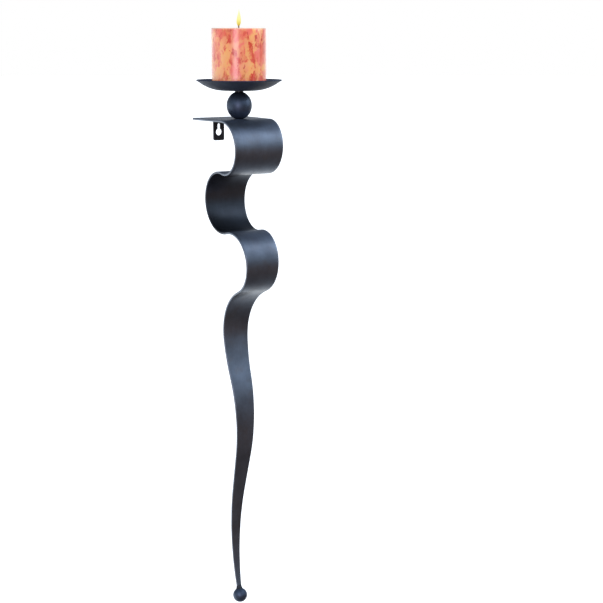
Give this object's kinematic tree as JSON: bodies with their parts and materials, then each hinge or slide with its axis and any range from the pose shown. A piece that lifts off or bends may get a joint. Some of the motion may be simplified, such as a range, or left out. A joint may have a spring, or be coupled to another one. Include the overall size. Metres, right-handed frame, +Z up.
{
  "type": "wall sconce candle holder",
  "caption": "Wall-hung pillar candle holder: a tapering curled flat-bar bracket with a keyhole tab, a spacer ball, a drip dish with a spike, and a lift-off candle.",
  "frame": {"origin": "middle of the keyhole's round hole, in the wall's plane", "axes": "+Z up, +Y into the wall, X along the wall; the bracket stands out towards -Y"},
  "size_m": [0.12, 0.1239, 0.8496],
  "materials": {
    "bar_finish": "satin blue-black powder coat over forged steel",
    "tab_finish": "satin black",
    "weld_finish": "satin black over a weld",
    "ball_finish": "satin blue-black",
    "dish_finish": "satin blue-black",
    "stud_steel": "turned",
    "fastener_zinc": "zinc plated",
    "wax": "marbled wax",
    "wick_cotton": "braided, charred at the tip"
  },
  "bodies": {
    "bracket": {"ribbon_strip": "bar_finish", "tail_ball": "ball_finish", "tail_weld": "weld_finish", "hanger_tab": "tab_finish", "tab_weld": "weld_finish", "spacer_ball": "ball_finish", "dish_washer": "ball_finish", "drip_dish": "dish_finish", "pricket_stud": "stud_steel", "lock_washer": "fastener_zinc", "stud_nut": "fastener_zinc"},
    "candle": {"candle_wax": "wax", "candle_wick": "wick_cotton"}
  },
  "joints": [
    {"name": "candle_lift", "type": "slide", "parent": "bracket", "child": "candle", "axis": [0, 0, 1], "range_m": [0, 0.12]}
  ]
}
